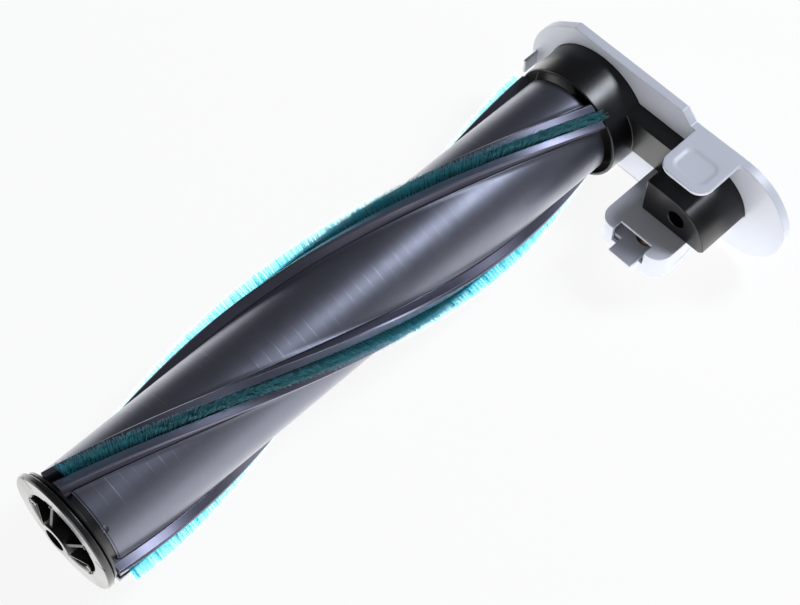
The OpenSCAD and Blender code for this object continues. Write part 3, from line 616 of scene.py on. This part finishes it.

# %% [markdown]
# ## Bristle strips
#
# A strip holds tens of thousands of filaments in tufts. Placing each one by hand in
# code would take minutes, so one short patch of tufts is made hair by hair, as
# three-sided rods, and then spun along the helix in copies. A noise that grows
# towards the tips bends the copies in different ways, so that the repeat is lost. A
# core inside closes the gaps that real filaments fill by their sheer number. Its
# dark colour is painted shade, the shade deep down among those filaments.

# %% One patch of tufts
PILE_START = TUBE_START + 1.5
PILE_LEN = CARRIER_END - PILE_START
PATCHES = 24
PATCH_LEN = PILE_LEN / PATCHES
HAIRS_PER_PATCH = 280
CLUMPS_PER_PATCH = 22
ROOT_R = 18.9
ROOT_HALF_W = 1.55
HAIR_R = 0.06
TIP_R = 0.04


def hair(bm, foot, tip):
    """Three-sided filament from foot to tip."""
    along = tip - foot
    turn = along.to_track_quat("Z", "X").to_matrix().to_4x4()
    bmesh.ops.create_cone(
        bm, cap_ends=True, segments=3, radius1=HAIR_R, radius2=TIP_R, depth=along.length,
        matrix=Matrix.Translation((foot + tip) / 2) @ turn,
    )


def tuft_patch(rng):
    """Mesh of the first stretch of the first strip: hairs that lean towards clumps."""
    clumps = []
    for place in range(CLUMPS_PER_PATCH):
        along = (place + rng.random()) * PATCH_LEN / CLUMPS_PER_PATCH
        side = (-1, 1)[place % 2] * rng.uniform(0.1, 1.2)
        clumps.append((along, side, rng.uniform(-0.4, 0.1), rng.uniform(0.1, 0.6)))
    bm = bmesh.new()
    for _ in range(HAIRS_PER_PATCH // 40):
        group = bmesh.new()
        for _ in range(40):
            along = rng.uniform(0, PATCH_LEN)
            side = rng.uniform(-ROOT_HALF_W, ROOT_HALF_W)
            clump = min(clumps, key=lambda c: math.hypot(c[0] - along, c[1] - side))
            pull = clump[3]
            tip_along = along + (clump[0] - along) * pull + rng.gauss(0, 0.15)
            tip_side = (side + (clump[1] - side) * pull) * 1.15 + rng.gauss(0, 0.15)
            tip_r = BRUSH_R + 0.2 + clump[2] * pull - abs(rng.gauss(0, 0.25))
            foot_x = PILE_START + along
            tip_x = PILE_START + tip_along
            foot = on_strip(ROOT_R, side, strip_angle(0, foot_x), foot_x)
            tip = on_strip(tip_r, tip_side, strip_angle(0, tip_x), tip_x)
            hair(group, foot, tip)
        made = bpy.data.meshes.new("tuft")
        group.to_mesh(made)
        group.free()
        bm.from_mesh(made)
        bpy.data.meshes.remove(made)
    patch = bpy.data.meshes.new("tuft_patch")
    bm.to_mesh(patch)
    bm.free()
    return patch


patch = tuft_patch(random.Random(40))
print("one patch has", len(patch.polygons) // 5, "hairs, a strip", PATCHES, "patches")


# %% Strips of tufts
def rough_up(bm, seed):
    """Bends the hairs with noise that grows towards their tips, and fans out the last ones."""
    shift = Vector((seed * 31.7, seed * 11.3, 0))
    for vert in bm.verts:
        height = max(0, (radius_of(vert) - LIP_R) / (BRUSH_R - LIP_R))
        if height == 0:
            continue
        coarse = noise.noise_vector(vert.co * 0.3 + shift)
        fine = noise.noise_vector(vert.co * 0.8 + shift)
        vert.co += (coarse * 0.2 + fine * 0.35) * height ** 1.5
        from_end = min(vert.co.x - PILE_START, CARRIER_END - vert.co.x)
        if from_end < 1.6:
            side = -1 if vert.co.x < PILE_LEN / 2 else 1
            vert.co.x += side * 0.9 * (1 - from_end / 1.6) * height ** 2
        out = radius_of(vert) / (BRUSH_R + 0.3)
        if out > 1:
            vert.co.y /= out
            vert.co.z /= out


def pile_core(bm, index):
    """Foot of the strip inside the pile, whose dark colour is painted shade."""
    angle = strip_angle(index, PILE_START)
    points = [(ROOT_R, 1.6), (19.9, 1.6), (LIP_R, 1.1)]
    left = [on_strip(out, across, angle, PILE_START) for out, across in points]
    right = [on_strip(out, -across, angle, PILE_START) for out, across in reversed(points)]
    start = chain(bm, left + right)
    end = helix(bm, start, PILE_LEN, 4 * PATCHES)
    bmesh.ops.contextual_create(bm, geom=only_edges(start))
    bmesh.ops.contextual_create(bm, geom=only_edges(end))
    for face in bm.faces:
        face.material_index = 1


NOISE_SEED = 40
noise.seed_set(NOISE_SEED)
for index in range(STRIPS):
    bm = bmesh.new()
    bm.from_mesh(patch)
    bmesh.ops.rotate(
        bm, verts=bm.verts, cent=CENTRE,
        matrix=Matrix.Rotation(index * math.tau / STRIPS, 3, AXIS),
    )
    bmesh.ops.spin(
        bm, geom=bm.verts[:] + bm.edges[:] + bm.faces[:], cent=CENTRE, axis=AXIS,
        dvec=AXIS * PATCH_LEN, angle=TWIST * PATCH_LEN * (PATCHES - 1), steps=PATCHES - 1,
        use_duplicate=True,
    )
    rough_up(bm, index + 1)
    pile = bpy.data.meshes.new("pile")
    bm.to_mesh(pile)
    bm.free()
    bm = bmesh.new()
    pile_core(bm, index)
    bm.from_mesh(pile)
    bpy.data.meshes.remove(pile)
    bristles = finish_piece(
        bm, f"bristles_{index + 1}", "roller", nylon,
        [f"bristle_strip_{index + 1}"], sharp=180,
    )
    bristles.data.materials.append(pile_core_painted_shade)
bpy.data.meshes.remove(patch)

# %% [markdown]
# ## Moulded pieces
#
# The caps, the shroud, the cover and the latch are single mouldings whose exact
# outlines are already in the frame. What the frame lacks is the small radius that
# every mould leaves on an edge, and that radius is what catches the light. So each
# piece is a copy of its solid, with loose triangles merged into whole faces and a
# bevel on the sharp edges.

# %% Soft finger dish
TAB_TOP_Z = 20.5
DISH_DEPTH = 0.45
DISH_SLOPE = 2.0
DISH_RINGS = 8


def in_dish(place):
    return 208 < place.x < 220.2 and -56 < place.y < -39.5 and place.z > TAB_TOP_Z - 0.7


def soften_dish(bm):
    """Replaces the dish's sharp step by a slope that eases in and out."""
    floor = [face for face in bm.faces
             if in_dish(face.calc_center_median())
             and face.calc_center_median().z < TAB_TOP_Z - 0.1]
    bmesh.ops.delete(bm, geom=floor, context="FACES")
    rim = [edge for edge in bm.edges if edge.is_boundary]
    bowl = bmesh.ops.contextual_create(bm, geom=rim)["faces"]
    for ring in range(DISH_RINGS):
        low, high = ring / DISH_RINGS, (ring + 1) / DISH_RINGS
        drop = DISH_DEPTH * (math.cos(math.pi * low) - math.cos(math.pi * high)) / 2
        bmesh.ops.inset_individual(
            bm, faces=bowl, thickness=DISH_SLOPE / DISH_RINGS, depth=-drop,
        )


# %% Copies with rounded edges
COVER_BACK_X = 226.8


def cap_edge(place):
    out = math.hypot(place.y, place.z)
    return 0.6 if place.x < 0.8 and 13 < out < 14.5 else 0.16


def cover_edge(place):
    return 0 if place.x > COVER_BACK_X or in_dish(place) else 0.35


moulded_copy("drive_end_cap", "drive_cap", "roller", satin_black_abs,
             cap_edge, 0.6)
moulded_copy("end_shroud", "cup_arm_and_block", "cover_assembly",
             polished_black_abs, lambda place: 0.4, 0.4)
moulded_copy("side_cover", "cover_with_tab_and_tray", "cover_assembly",
             lavender_abs, cover_edge, 0.35, soften_dish)
moulded_copy("latch_bolt", "latch_with_nose", "latch", latch_abs,
             lambda place: 0.15, 0.15)
moulded_copy("latch_retainer", "latch_keeper_plate", "cover_assembly",
             latch_abs, lambda place: 0.15, 0.15)

# %% [markdown]
# ## Latch spring
#
# The coil in the latch's pocket is bronze wire. A circle spun about the coil's own
# upright axis, with a push upwards at each step, makes it. It shortens when the latch
# rises.

# %% Coil of wire
SPRING_TURNS = 4
WIRE_R = 0.25
COIL_R = 2.9
spring_low, spring_high = box_mm("latch_spring")
coil_middle = (spring_low + spring_high) / 2
rise = spring_high.z - spring_low.z - 2 * WIRE_R
coil_steps = 32 * SPRING_TURNS
UP = Vector((0, 0, 1))

bm = bmesh.new()
lie = Matrix.Translation((coil_middle.x + COIL_R, coil_middle.y, spring_low.z + WIRE_R))
wire = bmesh.ops.create_circle(
    bm, segments=10, radius=WIRE_R, matrix=lie @ Matrix.Rotation(math.pi / 2, 4, "X"),
)
ends = [bm.edges[:]]
coil = bmesh.ops.spin(
    bm, geom=bm.verts[:] + bm.edges[:], cent=(coil_middle.x, coil_middle.y, 0), axis=UP,
    dvec=UP * (rise / coil_steps), angle=math.tau * SPRING_TURNS, steps=coil_steps,
)
ends.append(only_edges(coil["geom_last"]))
for edges in ends:
    bmesh.ops.contextual_create(bm, geom=edges)
spring = finish_piece(
    bm, "latch_coil", "cover_assembly", bronze_wire, ["latch_spring"],
)
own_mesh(spring)

# %% [markdown]
# ## Table and light
#
# The part lies on a light table: a white sheet lit from below, so that it throws no
# dark shadow and the nylon glows. Above it the room is dark, apart from one soft box
# high on the cover's side, which draws the highlight along the tube and the streak on
# the cup. Two weaker boxes stand low in front. A light table is an area lamp that lies
# on the floor and shines up. The camera doesn't see the lamp, only the white floor.

# %% White table
FLOOR_GAP = 0.02
TABLE_SIZE = 6.0
FLOOR_Z = cad_box[0].z - FLOOR_GAP * MM


def white_table():
    """White surface, which the camera and reflections see as white wherever it isn't shaded."""
    material, output = new_material("white_table")
    rays = add(material, "ShaderNodeLightPath")
    matte = add(material, "ShaderNodeBsdfDiffuse", {"Color": linear("#f2f2f4")})
    white = add(material, "ShaderNodeEmission", {"Color": (1, 1, 1, 1), "Strength": 1.0})
    seen = add(material, "ShaderNodeMath",
               {0: rays.outputs["Is Camera Ray"], 1: 0.9}, operation="MULTIPLY")
    mirrored = add(material, "ShaderNodeMath",
                   {0: seen.outputs[0], 1: rays.outputs["Is Glossy Ray"]}, operation="MAXIMUM")
    share = add(material, "ShaderNodeMath",
                {0: mirrored.outputs[0], 1: rays.outputs["Is Transmission Ray"]},
                operation="MAXIMUM")
    mix = add(material, "ShaderNodeMixShader",
              {"Fac": share.outputs[0], 1: matte.outputs[0], 2: white.outputs[0]})
    add_link(material, mix.outputs[0], output)
    return material


bm = bmesh.new()
bmesh.ops.create_grid(bm, x_segments=1, y_segments=1, size=TABLE_SIZE / 2)
bmesh.ops.translate(bm, verts=bm.verts, vec=(0.1, 0, FLOOR_Z))
table_mesh = bpy.data.meshes.new("table")
bm.to_mesh(table_mesh)
bm.free()
table_mesh.materials.append(white_table())
table_top = bpy.data.objects.new("table", table_mesh)
bpy.context.scene.collection.objects.link(table_top)
print("table at z =", round(FLOOR_Z / MM, 2), "mm")

# %% Soft boxes and the room
PART_MIDDLE = Vector((0.13, -0.01, 0.0))
ROOM_LIGHT = 0.12
ROOM_SEEN = 0.9


def soft_box(name, place, size, power, colour=(1, 1, 1), aim=PART_MIDDLE):
    """Square area light at a place, that looks at the part."""
    light = bpy.data.lights.new(name, "AREA")
    light.shape = "SQUARE"
    light.size = size
    light.energy = power
    light.color = colour
    lamp = bpy.data.objects.new(name, light)
    lamp.location = place
    lamp.rotation_mode = "QUATERNION"
    lamp.rotation_quaternion = (Vector(place) - aim).to_track_quat("Z", "Y")
    bpy.context.scene.collection.objects.link(lamp)
    return lamp


soft_box("key_box", (0.87, -0.34, 0.95), 0.34, 12, (0.87, 0.92, 1.0))
soft_box("front_box", (-1.3, -0.35, 0.4), 0.9, 7.6, (1, 0.99, 0.95))
soft_box("side_box", (0.25, -1.4, 0.3), 0.8, 2, (1, 0.99, 0.96))
below = Vector((0.1, 0, FLOOR_Z + 0.5 * FLOOR_GAP * MM))
table_lamp = soft_box("light_table", below, 0.6, 1.75, (1, 1, 0.98), below + Vector((0, 0, 1)))
table_lamp.visible_camera = False

world = bpy.data.worlds.new("studio")
world.use_nodes = True
bpy.context.scene.world = world
background = world.node_tree.nodes["Background"]
background.inputs["Color"].default_value = (1, 1, 1, 1)
ray = add(world, "ShaderNodeLightPath").outputs
seen = add(world, "ShaderNodeMath",
           {0: ray["Is Camera Ray"], 1: ray["Is Transmission Ray"]}, operation="MAXIMUM")
level = add(world, "ShaderNodeMapRange",
            {"Value": seen.outputs[0], "To Min": ROOM_LIGHT, "To Max": ROOM_SEEN})
world.node_tree.links.new(level.outputs["Result"], background.inputs["Strength"])

# %% [markdown]
# ## Camera
#
# The camera stands where the photograph was taken from: high over the drive end,
# looking along the roller towards its cover. It was worked out from the circles and
# the straight edges of the part, and is written as three directions and a place.

# %% Camera
CAMERA_PLACE = Vector((-0.1080, -0.2327, 0.5257))
CAMERA_UP = Vector((0.5905, 0.6174, 0.5197))
CAMERA_BACK = Vector((-0.3756, -0.3597, 0.8541))
PHOTO_WIDTH = 800
FOCAL_PIXELS = 2020

camera = bpy.data.cameras.new("camera")
camera.sensor_width = 36
camera.lens = camera.sensor_width * FOCAL_PIXELS / PHOTO_WIDTH
viewer = bpy.data.objects.new("camera", camera)
right = CAMERA_UP.cross(CAMERA_BACK).normalized()
up = CAMERA_BACK.cross(right).normalized()
turn = Matrix((right, up, CAMERA_BACK.normalized())).transposed()
viewer.matrix_world = Matrix.Translation(CAMERA_PLACE) @ turn.to_4x4()
bpy.context.scene.collection.objects.link(viewer)
bpy.context.scene.camera = viewer
bpy.context.scene.view_settings.view_transform = "Standard"
print("lens:", round(camera.lens, 1), "mm")
